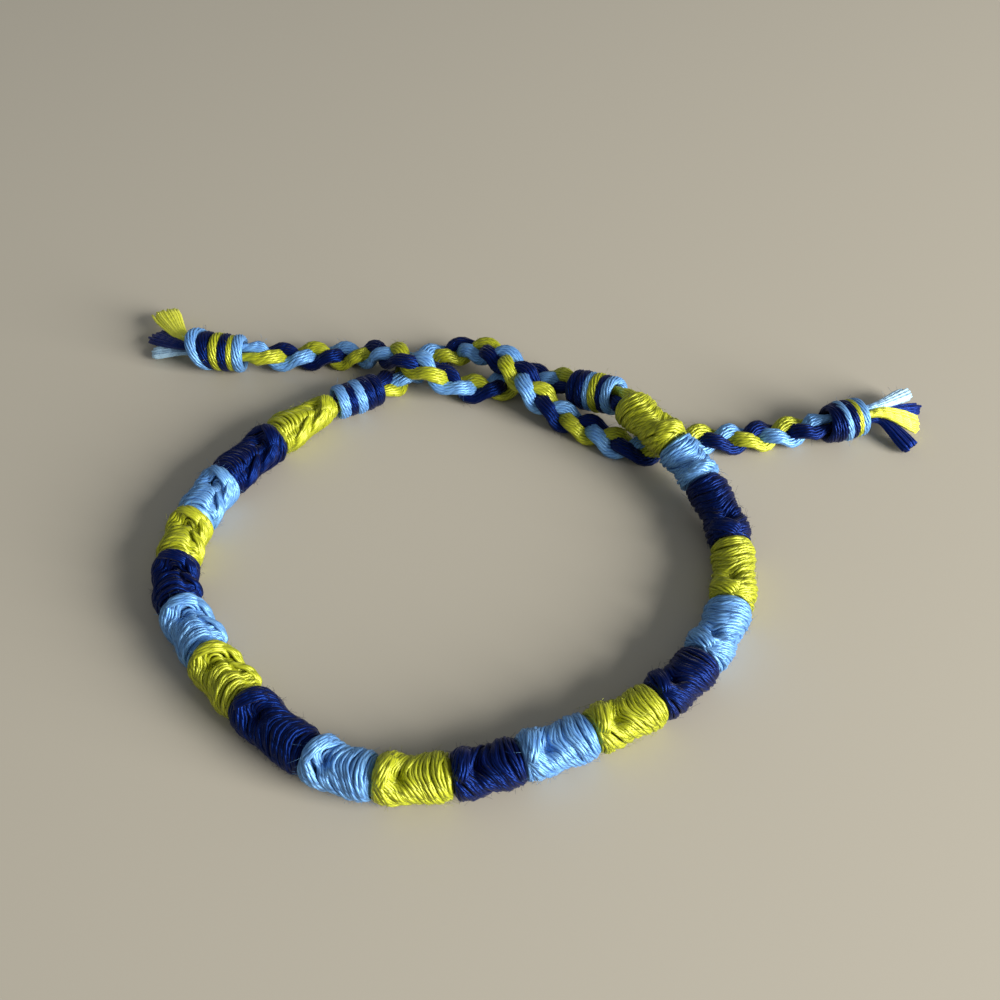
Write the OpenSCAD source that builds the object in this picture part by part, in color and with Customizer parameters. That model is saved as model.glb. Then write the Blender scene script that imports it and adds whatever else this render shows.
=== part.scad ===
// Friendship bracelet in three colours of stranded cotton, lying flat on a surface.
// The band is a row of half hitches, one stretch after another in yellow, navy and sky blue. A wrapped knot
// closes each end of the band, and from each knot a flat plait of three strands runs on as a tie.
// The ties turn round each other behind the opening, and each one ends in a wrapped knot and a tassel.
// X runs along the bracelet's greatest width, Y away from the viewer, and the surface is at Z = 0.

/* [Band] */
// Mean thickness of the hitched band
band_thick = 4.7; // [4.5:0.05:4.8]
// Clear space between one stretch and the next
stretch_gap = 0.12; // [0.05:0.01:0.2]
// Height of the lump where a stretch's first hitch crosses itself
purl_height = 0.4; // [0:0.05:0.6]

/* [Ties] */
// Width of a plaited tie
plait_w = 3.8; // [3.75:0.05:3.9]
// Thickness of a plaited tie
plait_t = 2.5; // [2.45:0.05:2.55]
// Length of plait in which a strand comes back to the same edge
plait_pitch = 11; // [10.5:0.1:12]
// Width of a strand in the plait, measured across the tie
plait_strand_w = 1.4; // [1.2:0.05:1.4]
// Thickness of a strand in the plait
plait_strand_t = 0.95; // [0.85:0.05:0.95]

/* [Knots and tassels] */
// Diameter of a strand where it runs straight through a knot
core_strand_d = 1.1; // [0.9:0.05:1.1]
// Clear space between a strand and the thread that is wrapped round it
wrap_clear = 0.1; // [0.05:0.01:0.15]
// Length of the free locks of a tassel
lock_len = 6; // [4:0.25:7]
// Thickness of a lock at its cut end
lock_t = 1.1; // [0.8:0.05:1.2]

/* [Hidden] */
YELLOW = "#c3c71c";
NAVY = "#10185c";
SKY = "#74a9ea";

// Sides of a stretch, of a strand and of a wrapped thread, and rings round a wrap
STRETCH_SIDES = 14;
STRAND_SIDES = 6;
WRAP_SIDES = 6;
WRAP_RINGS = 12;
// Rings of a strand in each third of the plait's turn, and their distance from each other elsewhere
RINGS_A_THIRD = 4;
STRAND_STEP = 1.3;
LOCK_SIDES = 8;
// Shares of a lock's length at which its rings stand
LOCK_STATIONS = [0, 0.13, 0.25, 0.38, 0.52, 0.7, 0.88, 1];
// Short length over which a heading is measured
NEAR = 0.3;

// Shift that brings the middle of the whole outline to the origin
MIDDLE = [-0.243, -0.116, -0.011];

// Middle line of the band, from the left band knot round the front to the right band knot.
// The last points rise, because the band lies on the left tie there.
BAND_ROUTE = [
    [-23.2, 16.9, 2.35], [-28.6, 11.4, 2.35], [-33.3, 4.8, 2.35], [-35.7, -0.9, 2.35],
    [-36.6, -6.6, 2.35], [-35.7, -12.4, 2.35], [-31.9, -18.4, 2.35], [-27.3, -23.8, 2.35],
    [-20.4, -29.4, 2.35], [-13.7, -31.9, 2.35], [-6.4, -31.6, 2.35], [0.1, -29.6, 2.35],
    [7, -26.5, 2.35], [13.4, -22.7, 2.35], [18.4, -17.3, 2.35], [21.8, -10.1, 2.35],
    [22.3, -1.8, 2.5], [19.7, 5.8, 3.4], [16.6, 9.9, 4.7], [14.2, 12.7, 5.05], [12.1, 15.7, 4.8]
];

// Stretches in the order of work: colour, length in mm, and angle of the spine of crossings round the band,
// where 0 points out of the loop, 90 points up and 180 points into it
STRETCHES = [
    [YELLOW, 8.55, 100], [NAVY, 8.25, 105], [SKY, 6.35, 100],
    [YELLOW, 6, 95], [NAVY, 6.15, 90], [SKY, 6.85, 95],
    [YELLOW, 6.9, 90], [NAVY, 8.75, 85], [SKY, 6.6, 85],
    [YELLOW, 7, 80], [NAVY, 6.55, 85], [SKY, 7.3, 85],
    [YELLOW, 7.25, 90], [NAVY, 7.05, 110], [SKY, 7.75, 115],
    [YELLOW, 8.2, 120], [NAVY, 8.8, 110], [SKY, 5.7, 90],
    [YELLOW, 7.8, 90]
];
function colour_of(row) = row[0];
function length_of(row) = row[1];
function spine_of(row) = row[2];

// Thickness of the band near the left band knot, as [length along the band, share of the band's thickness]
LEFT_TAPER = [[0, 0.55], [2, 0.75], [4.2, 0.9], [6.5, 1]];

// Thickness of a stretch along its length, as [share of the length, share of the band's thickness]:
// it swells over each of its three hitches, most of all over the first
SWELL = [
    [0, 0.78], [0.05, 0.96], [0.13, 1.1], [0.23, 1.13], [0.33, 1.05], [0.42, 0.96], [0.52, 1],
    [0.62, 0.95], [0.72, 0.96], [0.83, 1.01], [0.92, 0.97], [1, 0.8]
];

// Middle line of each tie, from its band knot to the tassel's side of its end knot
LEFT_TIE_ROUTE = [
    [-23, 17.1, 2.35], [-21.9, 17.7, 2.3], [-20.5, 18.5, 2.25], [-18.8, 19.7, 2.2], [-16.7, 21.8, 1.55],
    [-14.6, 24.5, 1.3], [-12.1, 27, 1.25], [-9.3, 28, 1.5], [-6.5, 27.4, 2.6], [-3.6, 25.2, 3.7], [-1.4, 22.5, 3.95],
    [0.4, 20, 3.5], [2.6, 18, 2.4], [5.3, 16.4, 1.4], [8.5, 14.6, 1.25], [11.4, 12.6, 1.25],
    [14.2, 11.9, 1.25], [17.2, 12.9, 1.25], [20.5, 13.9, 1.25], [24.3, 14.1, 1.25], [28.5, 14.9, 1.25],
    [31.6, 15.5, 1.4], [34.4, 15.7, 2.1], [37.1, 16.2, 2.55], [39.1, 16.9, 2.6], [41.2, 17.7, 2.6]
];
RIGHT_TIE_ROUTE = [
    [12.1, 15.8, 4.75], [11.5, 17, 4.5], [10.7, 18, 4.1], [9.5, 18.8, 3.7], [8, 19.6, 3.3],
    [6.5, 20.4, 3], [5, 21.6, 2.6], [3.3, 23, 2], [1.2, 23.9, 1.4],
    [-1.4, 23.1, 1.25], [-4.4, 21.8, 1.25], [-7.4, 21.5, 1.5], [-9.9, 21.6, 2.6], [-12.1, 22.1, 3.75],
    [-14.1, 23, 4.05], [-16.3, 24.5, 3.7], [-18.6, 26.1, 2.6], [-21.8, 27, 1.35], [-26, 27, 1.25],
    [-29, 26.5, 1.3], [-31.6, 25.9, 1.8], [-34, 25.5, 2.5], [-36.5, 25.4, 2.6], [-39, 25.7, 2.6], [-41.6, 26.2, 2.6]
];

// Lengths of each tie: bare neck between the band and its knot, from the band to the end of that knot,
// and the end knot
LEFT_KNOT_RUNS = [0, 5.6, 5.5];
RIGHT_KNOT_RUNS = [2.4, 8.4, 6.6];

// Where the three strands stand in the plait's turn inside the band knot, in the order yellow, navy, sky
LEFT_TURNS = [90, 210, 330];
RIGHT_TURNS = [30, 270, 150];

// Wraps of the knots: colour, distance along the tie, width, thickness and lean of the wrap's loop along the tie.
// An end knot's distances are counted from the tassel's side.
LEFT_BAND_WRAPS = [
    [SKY, 0.75, 0.95, 0.85, 0], [NAVY, 1.8, 0.85, 0.8, 0], [SKY, 2.85, 0.95, 0.9, 0],
    [NAVY, 3.95, 0.9, 0.9, 0], [NAVY, 5.05, 0.8, 0.8, 0]
];
RIGHT_BAND_WRAPS = [
    [SKY, 3, 0.95, 1.1, 0.1], [NAVY, 4, 0.6, 1.1, 0.1], [YELLOW, 4.95, 0.9, 1.2, 0.1],
    [SKY, 5.9, 0.6, 1.15, 0.1], [NAVY, 6.75, 0.8, 1.2, 0.1], [NAVY, 7.75, 0.8, 1.05, 0.1]
];
LEFT_END_WRAPS = [
    [SKY, 0.65, 0.9, 1.15, -0.1], [YELLOW, 1.5, 0.55, 1.15, -0.1], [NAVY, 2.3, 0.85, 1.2, -0.15],
    [SKY, 3.15, 0.6, 1.2, -0.2], [NAVY, 4, 0.85, 1.2, -0.2], [NAVY, 4.95, 0.75, 1.05, -0.2]
];
RIGHT_END_WRAPS = [
    [SKY, 0.8, 1, 1.15, 0.5], [NAVY, 1.95, 0.95, 1.15, 0.4], [YELLOW, 3.05, 0.9, 1.15, 0.3],
    [NAVY, 4.05, 0.8, 1.2, 0.2], [YELLOW, 4.95, 0.7, 1.1, 0.15], [SKY, 5.9, 0.9, 1.15, 0.1]
];

function stretch_name(i) = str("hitch_", i < 10 ? "0" : "", i);
function unit(v) = v / norm(v);
function mix(a, b, share) = a + (b - a) * share;
function smooth(x) = let (u = min(max(x, 0), 1)) u * u * (3 - 2 * u);
function sum_to(list, n) = n <= 0 ? 0 : list[n - 1] + sum_to(list, n - 1);

// A point on the smooth curve through a route's points, where t counts the points passed
function spline(route, t) =
    let (
        last = len(route) - 1,
        i = min(max(floor(t), 0), last - 1),
        u = t - i,
        a = route[max(i - 1, 0)],
        b = route[i],
        c = route[i + 1],
        d = route[min(i + 2, last)]
    )
    0.5 * (2 * b + (c - a) * u + (2 * a - 5 * b + 4 * c - d) * u * u + (3 * b - a - 3 * c + d) * u * u * u);

// A route set round the middle of the outline
function centred(route) = [for (place = route) place - MIDDLE];

// Rows of [length along the curve, t], from which a length finds its point
ROUTE_STEPS = 10;
function ruler(route) = [
    for (
        i = 0, s = 0;
        i <= (len(route) - 1) * ROUTE_STEPS;
        s = s + norm(spline(route, (i + 1) / ROUTE_STEPS) - spline(route, i / ROUTE_STEPS)), i = i + 1
    ) [s, i / ROUTE_STEPS]
];
function length_on(rule) = rule[len(rule) - 1][0];

// Place, heading, sideways and upward directions of a route at a length s along it.
// Sideways is to the right of the heading, which is out of the loop on the band.
function stand(route, rule, s) =
    let (
        place = spline(route, lookup(s, rule)),
        ahead = unit(spline(route, lookup(s + NEAR, rule)) - spline(route, lookup(s - NEAR, rule))),
        side = unit(cross(ahead, [0, 0, 1]))
    )
    [place, ahead, side, cross(side, ahead)];

// A ring of points round a place, in the plane of the two axes
function ring(place, x_axis, y_axis, n) =
    [for (j = [0:n - 1]) place + x_axis * cos(360 * j / n) + y_axis * sin(360 * j / n)];

// A closed skin over rings of equal size. Its ends are capped, or joined to each other where it is a loop.
module skin(rings, loop = false) {
    n = len(rings[0]);
    m = len(rings);
    walls = [
        for (i = [0:m - (loop ? 1 : 2)], j = [0:n - 1])
            let (a = i * n + j, b = i * n + (j + 1) % n, c = ((i + 1) % m) * n + j, d = ((i + 1) % m) * n + (j + 1) % n)
            each [[a, b, d], [a, d, c]]
    ];
    caps = [[for (j = [n - 1:-1:0]) j], [for (j = [0:n - 1]) (m - 1) * n + j]];
    polyhedron(points = [for (r = rings) each r], faces = loop ? walls : concat(walls, caps));
}

/* Band */
BAND_LINE = centred(BAND_ROUTE);
BAND_RULE = ruler(BAND_LINE);
STRETCH_LENGTHS = [for (row = STRETCHES) length_of(row)];
// The lengths fill the whole route
STRETCH_SCALE = length_on(BAND_RULE) / sum_to(STRETCH_LENGTHS, len(STRETCHES));

// Radius of a stretch at a share u of its length and an angle round it. A swelling doesn't reach the underside,
// which rests on the surface, and the first crossing stands out as a lump with a hollow after it.
function stretch_radius(u, angle, spine) =
    let (
        swell = lookup(u, SWELL),
        upper = 0.5 + 0.5 * sin(angle),
        body = swell > 1 ? 1 + (swell - 1) * upper : swell,
        turn = (angle - spine + 540) % 360 - 180,
        lump = purl_height * exp(-pow((u - 0.16) / 0.1, 2) - pow(turn / 35, 2)),
        hollow = purl_height * exp(-pow((u - 0.36) / 0.08, 2) - pow(turn / 35, 2))
    )
    band_thick / 2 * body + lump - hollow;

module stretch(i) {
    row = STRETCHES[i];
    start = STRETCH_SCALE * sum_to(STRETCH_LENGTHS, i) + stretch_gap / 2;
    run = STRETCH_SCALE * length_of(row) - stretch_gap;
    color(colour_of(row)) skin([
        for (station = SWELL)
            let (s = start + station[0] * run, at = stand(BAND_LINE, BAND_RULE, s))
            [
                for (j = [0:STRETCH_SIDES - 1])
                    let (
                        angle = spine_of(row) + 360 * j / STRETCH_SIDES,
                        radius = stretch_radius(station[0], angle, spine_of(row)) * lookup(s, LEFT_TAPER)
                    )
                    at[0] + radius * (at[2] * cos(angle) + at[3] * sin(angle))
            ]
    ]);
}

/* Ties */
LEFT_LINE = centred(LEFT_TIE_ROUTE);
RIGHT_LINE = centred(RIGHT_TIE_ROUTE);

// Distance of the three strands from the tie's middle line inside a knot, where they just clear each other
CORE_OFFSET = (core_strand_d + wrap_clear) / sqrt(3);
// Share of a ring's height at which its flat top and bottom lie
FLAT_TOP = cos(180 / STRAND_SIDES);
// Share of the third harmonic, which flattens the ends of a strand's swing
FLAT = 0.1;
// Side swing and height swing of a strand's middle line in the plait
PLAIT_SIDE = (plait_w - plait_strand_w) / 2 / (1 - FLAT);
PLAIT_RISE = (plait_t - plait_strand_t) / 2 / (1 - FLAT);
// Length over which the plait spreads out of a knot
SPREAD = 1.6;
// Part of an end knot's run in which the tassel's locks stand in place of the strands
LOCK_ROOT = 1.6;
// Clear space between the strands' ends and the locks
LOCK_GAP = 0.25;

// A tie: its route, ruler and knot runs
LEFT_TIE = [LEFT_LINE, ruler(LEFT_LINE), LEFT_KNOT_RUNS];
RIGHT_TIE = [RIGHT_LINE, ruler(RIGHT_LINE), RIGHT_KNOT_RUNS];
function tie_length(tie) = length_on(tie[1]);
function neck_end(tie) = tie[2][0];
function plait_start(tie) = tie[2][1];
function plait_end(tie) = tie_length(tie) - tie[2][2];

// The plait turns by whole thirds between the places where it has spread, so that its strands stand alike
// in both knots
function turn_first(tie) = plait_start(tie) + SPREAD;
function turn_last(tie) = plait_end(tie) - SPREAD;
function thirds(tie) = round(3 * (turn_last(tie) - turn_first(tie)) / plait_pitch);
function plait_turn(tie, s) =
    120 * thirds(tie) * min(max((s - turn_first(tie)) / (turn_last(tie) - turn_first(tie)), 0), 1);
// 0 inside the knots, 1 in the plait and in the neck
function spread(tie, s) =
    max(smooth((neck_end(tie) - s) / SPREAD), smooth((s - plait_start(tie)) / SPREAD))
        * smooth((plait_end(tie) - s) / SPREAD);

// A swing from side to side with flattened ends
function swing(angle) = sin(angle) + FLAT * sin(3 * angle);

// A ring of a strand, whose middle swings from side to side once and up and down twice in each pitch
function strand_ring(tie, turn, s) =
    let (
        at = stand(tie[0], tie[1], s),
        angle = plait_turn(tie, s) + turn,
        share = spread(tie, s),
        aside = mix(CORE_OFFSET * sin(angle), PLAIT_SIDE * swing(angle), share),
        above = mix(CORE_OFFSET * sin(2 * angle), PLAIT_RISE * swing(2 * angle), share)
    )
    ring(
        at[0] + at[2] * aside + at[3] * above,
        at[2] * mix(core_strand_d, plait_strand_w, share) / 2,
        at[3] * mix(core_strand_d, plait_strand_t / FLAT_TOP, share) / 2,
        STRAND_SIDES
    );

// Lengths from a to b in equal steps, without b itself
function steps(a, b, n) = [for (i = [0:n - 1]) mix(a, b, i / n)];

module strand(tie, turn) {
    first = 0.2;
    last = tie_length(tie) - LOCK_ROOT - LOCK_GAP;
    stations = concat(
        steps(first, turn_first(tie), ceil((turn_first(tie) - first) / STRAND_STEP)),
        steps(turn_first(tie), turn_last(tie), RINGS_A_THIRD * thirds(tie)),
        steps(turn_last(tie), last, ceil((last - turn_last(tie)) / STRAND_STEP)),
        [last]
    );
    skin([for (s = stations) strand_ring(tie, turn, s)]);
}

/* Knots */
// A wrap is a closed thread on a cylinder round the tie, a little further along the tie at its top if it leans
module wrap(tie, row, from_end) {
    distance = from_end ? tie_length(tie) - row[1] : row[1];
    reach = CORE_OFFSET + core_strand_d / 2 + wrap_clear + row[3] / 2;
    at = stand(tie[0], tie[1], distance);
    skin([
        for (k = [0:WRAP_RINGS - 1])
            let (
                angle = 360 * k / WRAP_RINGS,
                out = at[2] * cos(angle) + at[3] * sin(angle),
                place = at[0] + at[1] * row[4] * sin(angle) + out * reach
            )
            ring(place, out * row[3] / 2, at[1] * row[2] / 2, WRAP_SIDES)
    ], loop = true);
}

module wraps(tie, rows, colour, from_end = false) {
    color(colour) for (row = rows) if (colour_of(row) == colour) wrap(tie, row, from_end);
}

/* Tassels */
// Locks of each tassel: colour, angle round the tie at which the lock leaves the knot, middle and width
// of its cut end
LEFT_LOCKS = [
    [SKY, 135, [47.3, 22.6, 1.7], 1.7], [NAVY, 225, [48.5, 20.9, 0.8], 1.4],
    [YELLOW, 45, [47.5, 17.8, 1.2], 2.7], [NAVY, 315, [46.2, 14.2, 0.8], 2.1]
];
RIGHT_LOCKS = [
    [YELLOW, 20, [-48, 33.4, 1.1], 3.1], [NAVY, 140, [-48.4, 29.3, 1.3], 2.3],
    [SKY, 260, [-47.7, 27, 0.8], 1.9]
];
// Distance of the locks from the tie's middle line in the knot, and their diameter there
LOCK_OFFSET = 0.7;
LOCK_ROOT_D = 0.8;

// A lock grows out of the knot, flattens and spreads towards its cut end.
// Locks of one colour share their root, which joins them.
module lock(tie, row, root_angle) {
    end = tie_length(tie);
    at = stand(tie[0], tie[1], end);
    out = function (angle) LOCK_OFFSET * (at[2] * cos(angle) + at[3] * sin(angle));
    root = at[0] - at[1] * LOCK_ROOT + out(root_angle);
    mouth = at[0] + out(row[1]);
    tip = row[2] - MIDDLE;
    route = [root, mouth, mouth + at[1] * lock_len / 4 + (tip - mouth) / 8, tip];
    rule = ruler(route);
    skin([
        for (u = LOCK_STATIONS)
            let (here = stand(route, rule, u * length_on(rule)), share = smooth((u - 0.25) / 0.7))
            ring(
                here[0],
                here[2] * mix(LOCK_ROOT_D, row[3], share) / 2,
                here[3] * mix(LOCK_ROOT_D, lock_t, share) / 2,
                LOCK_SIDES
            )
    ]);
}

module tassel(tie, rows, colour) {
    own = [for (row = rows) if (colour_of(row) == colour) row];
    root_angle = sum_to([for (row = own) row[1]], len(own)) / len(own);
    color(colour) union() {
        for (row = own) lock(tie, row, root_angle);
    }
}

for (i = [1:len(STRETCHES)]) stretch(i - 1);
color(YELLOW) strand(LEFT_TIE, LEFT_TURNS[0]);  // left_tie_yellow
color(NAVY) strand(LEFT_TIE, LEFT_TURNS[1]);  // left_tie_navy
color(SKY) strand(LEFT_TIE, LEFT_TURNS[2]);  // left_tie_sky
color(YELLOW) strand(RIGHT_TIE, RIGHT_TURNS[0]);  // right_tie_yellow
color(NAVY) strand(RIGHT_TIE, RIGHT_TURNS[1]);  // right_tie_navy
color(SKY) strand(RIGHT_TIE, RIGHT_TURNS[2]);  // right_tie_sky
wraps(LEFT_TIE, LEFT_BAND_WRAPS, NAVY);  // left_band_knot_navy
wraps(LEFT_TIE, LEFT_BAND_WRAPS, SKY);  // left_band_knot_sky
wraps(RIGHT_TIE, RIGHT_BAND_WRAPS, YELLOW);  // right_band_knot_yellow
wraps(RIGHT_TIE, RIGHT_BAND_WRAPS, NAVY);  // right_band_knot_navy
wraps(RIGHT_TIE, RIGHT_BAND_WRAPS, SKY);  // right_band_knot_sky
wraps(LEFT_TIE, LEFT_END_WRAPS, YELLOW, true);  // left_end_knot_yellow
wraps(LEFT_TIE, LEFT_END_WRAPS, NAVY, true);  // left_end_knot_navy
wraps(LEFT_TIE, LEFT_END_WRAPS, SKY, true);  // left_end_knot_sky
wraps(RIGHT_TIE, RIGHT_END_WRAPS, YELLOW, true);  // right_end_knot_yellow
wraps(RIGHT_TIE, RIGHT_END_WRAPS, NAVY, true);  // right_end_knot_navy
wraps(RIGHT_TIE, RIGHT_END_WRAPS, SKY, true);  // right_end_knot_sky
tassel(LEFT_TIE, LEFT_LOCKS, YELLOW);  // left_tassel_yellow
tassel(LEFT_TIE, LEFT_LOCKS, NAVY);  // left_tassel_navy
tassel(LEFT_TIE, LEFT_LOCKS, SKY);  // left_tassel_sky
tassel(RIGHT_TIE, RIGHT_LOCKS, YELLOW);  // right_tassel_yellow
tassel(RIGHT_TIE, RIGHT_LOCKS, NAVY);  // right_tassel_navy
tassel(RIGHT_TIE, RIGHT_LOCKS, SKY);  // right_tassel_sky
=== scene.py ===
# %% [markdown]
# # A friendship bracelet in cotton floss
#
# The real thing is a loop of knotted embroidery floss: a band of half hitches in three colours, a wrapped
# knot at each end of it, and two plaited ties that finish in a knot and a tassel. Every visible part of it
# is thread, so the whole lesson comes down to one question: how do you lay many fine threads where a maker's
# hands lay them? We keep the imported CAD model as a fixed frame, in metres, and lay floss over it.

# %% Load the frame
import bpy
import numpy as np
from mathutils import Matrix


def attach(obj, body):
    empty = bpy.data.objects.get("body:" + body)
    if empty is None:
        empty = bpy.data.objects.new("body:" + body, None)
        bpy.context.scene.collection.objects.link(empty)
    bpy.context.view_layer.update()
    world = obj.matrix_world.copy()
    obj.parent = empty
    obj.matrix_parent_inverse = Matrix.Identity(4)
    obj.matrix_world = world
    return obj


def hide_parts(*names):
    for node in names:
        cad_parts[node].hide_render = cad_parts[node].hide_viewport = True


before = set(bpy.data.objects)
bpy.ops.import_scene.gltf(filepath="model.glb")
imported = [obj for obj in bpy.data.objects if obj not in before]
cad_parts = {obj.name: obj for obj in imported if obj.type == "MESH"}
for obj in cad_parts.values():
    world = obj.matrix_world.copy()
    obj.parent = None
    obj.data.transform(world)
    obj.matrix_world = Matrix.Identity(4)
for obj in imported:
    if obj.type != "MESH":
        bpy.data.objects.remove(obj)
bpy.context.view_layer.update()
MM = 0.001
print("CAD nodes:", len(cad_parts))

# %% [markdown]
# ## The camera
#
# A photograph is matched before anything is modelled, because a wrong viewpoint makes every later comparison
# wrong. The view is a close one, about 12 cm from the bracelet and 48 degrees down, so the near side is
# drawn much larger than the ties behind. The sensor is 36 mm wide and the lens follows from the angle of
# view. Objects nearer than 10 cm are usually cut away, so here the camera is told to start seeing at 1 cm.

# %% Set the camera
DEGREE = np.pi / 180
CAMERA_PLACE = (-0.002507, -0.079184, 0.094371)
CAMERA_TILT = 41.58      # degrees up from straight down
CAMERA_ROLL = 1.75       # degrees round the line of sight
SENSOR_MM = 36
LENS_MM = 39.6
NEAREST_SEEN = 0.01
scene = bpy.context.scene
camera = bpy.data.objects.new("camera", bpy.data.cameras.new("camera"))
camera.data.sensor_width = SENSOR_MM
camera.data.lens = LENS_MM
camera.data.clip_start = NEAREST_SEEN
camera.data.dof.use_dof = False
camera.matrix_world = (
    Matrix.Translation(CAMERA_PLACE)
    @ Matrix.Rotation(CAMERA_TILT * DEGREE, 4, "X")
    @ Matrix.Rotation(CAMERA_ROLL * DEGREE, 4, "Z")
)
scene.collection.objects.link(camera)
scene.camera = camera
scene.view_settings.view_transform = "Standard"
print("camera at", [round(v, 4) for v in camera.location], "lens", camera.data.lens)

# %% [markdown]
# ## Small helpers for materials
#
# Colours are picked on a screen, so they are written as sRGB hex values, but a shader adds light and needs
# linear values. One function turns one into the other. A second one adds a node with its settings and its
# links, so that a whole material reads as a list of what each node does.

# %% Colour and node helpers
def linear(hex_colour):
    """The linear value of an sRGB hex colour: each channel is divided by 12.92 where it is dark, and
    otherwise raised by 0.055, scaled back and taken to the power 2.4."""
    s = np.array([int(hex_colour[i:i + 2], 16) for i in (1, 3, 5)]) / 255
    return (*np.where(s <= 0.04045, s / 12.92, ((s + 0.055) / 1.055) ** 2.4), 1.0)


def add_node(tree, kind, settings=None, **inputs):
    """A node of a kind, with its settings, whose inputs are numbers, colours or the outputs of other nodes.
    An input is named by its socket's name with _ for a space, or by in0, in1 for its number."""
    made = tree.nodes.new(kind)
    for name, value in (settings or {}).items():
        setattr(made, name, value)
    for name, value in inputs.items():
        numbered = name.startswith("in") and name[2:].isdigit()
        socket = made.inputs[int(name[2:]) if numbered else name.replace("_", " ")]
        if isinstance(value, bpy.types.NodeSocket):
            tree.links.new(value, socket)
        else:
            socket.default_value = value
    return made


def new_material(name):
    """An empty material with a Principled shader, returned with its node tree and shader."""
    made = bpy.data.materials.new(name)
    made.use_nodes = True
    return made, made.node_tree, made.node_tree.nodes["Principled BSDF"]


print("#808080 is half way on a screen and", round(float(linear("#808080")[0]), 3), "in linear light")

# %% [markdown]
# ## The floor
#
# The bracelet lies on a pale, matt surface. The floor is there to catch the shadow and to throw some light
# back on the undersides, so it has no pattern of its own. Matt paper still has a faint gloss at low angles,
# which a roughness of 0.6 keeps soft.

# %% Lay the floor
FLOOR_HALF = 1.5         # half the floor's width in metres, far past the edge of the view
CORNERS = [(-1, -1), (1, -1), (1, 1), (-1, 1)]
floor_mesh = bpy.data.meshes.new("floor")
floor_mesh.from_pydata([(x * FLOOR_HALF, y * FLOOR_HALF, 0) for x, y in CORNERS], [], [(0, 1, 2, 3)])
floor = bpy.data.objects.new("floor", floor_mesh)
scene.collection.objects.link(floor)
paper, tree, shader = new_material("matt_pale_paper")
shader.inputs["Base Color"].default_value = linear("#b0a999")
shader.inputs["Roughness"].default_value = 0.6
shader.inputs["Specular IOR Level"].default_value = 0.6
floor_mesh.materials.append(paper)
print("floor", 2 * FLOOR_HALF, "m wide")

# %% [markdown]
# ## The light
#
# Shadows tell where the light is. They fall behind the band and to its left, they are long, and they are
# soft. So there is one broad window to the front right, 27 degrees round from the bracelet's length towards
# the viewer, and only 20 degrees above the floor. A shiny thread shows a highlight where it faces halfway
# between the light and the eye, so a light this low also puts the gloss on the lower half of the near
# blocks. An area light has a real size: this one is 46 cm wide at 80 cm, and that is what makes the shadow
# soft. The room sends back a weaker, slightly bluer light from everywhere.

# %% Hang the light
LOOK_AT = np.array([-0.005, 0, 0.002])
WINDOW_COLOUR = (1.0, 0.985, 0.96)
ROOM_COLOUR = (0.9, 0.95, 1.0, 1)
ROOM_STRENGTH = 0.28


def softbox(name, azimuth, elevation, distance, width, watts, colour):
    """A square area light at an azimuth from +X towards +Y and an elevation above the floor, in degrees,
    turned so that it faces the bracelet."""
    a, e = azimuth * DEGREE, elevation * DEGREE
    away = np.array([np.cos(a) * np.cos(e), np.sin(a) * np.cos(e), np.sin(e)])
    data = bpy.data.lights.new(name, "AREA")
    data.shape, data.size, data.energy, data.color = "SQUARE", width, watts, colour
    lamp = bpy.data.objects.new(name, data)
    across = np.cross((0, 0, 1), away)
    across /= np.linalg.norm(across)
    turn = Matrix(np.column_stack([across, np.cross(away, across), away]).tolist()).to_4x4()
    lamp.matrix_world = Matrix.Translation((LOOK_AT + distance * away).tolist()) @ turn
    scene.collection.objects.link(lamp)


softbox("window", azimuth=-27, elevation=20, distance=0.8, width=0.46, watts=16.5, colour=WINDOW_COLOUR)
world = bpy.data.worlds.new("room")
world.use_nodes = True
world.node_tree.nodes["Background"].inputs["Color"].default_value = ROOM_COLOUR
world.node_tree.nodes["Background"].inputs["Strength"].default_value = ROOM_STRENGTH
scene.world = world

# %% [markdown]
# ## The floss: its pattern
#
# Embroidery floss is mercerised cotton: the yarn is stretched in lye, which swells each fibre smooth and
# round and gives it a silky gloss. One strand is two plies twisted together, with a full turn every 2.6 mm
# here. A flat colour would look like plastic, so the material starts from the yarn: two ply ridges that wind
# round the strand, and fine fibres that follow the twist. It reads each piece's own UV map, in which U goes
# once round the strand and V is its length in millimetres, so the twist follows every bend.

# %% Draw the plies and the fibres
TWIST_MM = 2.6            # length of one full turn of the two plies
FIBRE_SCALE = 2.4         # fineness of the streaks, coarser than 0.015 mm fibres so that they show
FIBRE_STRETCH = 0.22      # steps of the pattern for each mm along the strand: few, so that streaks are long


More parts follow.
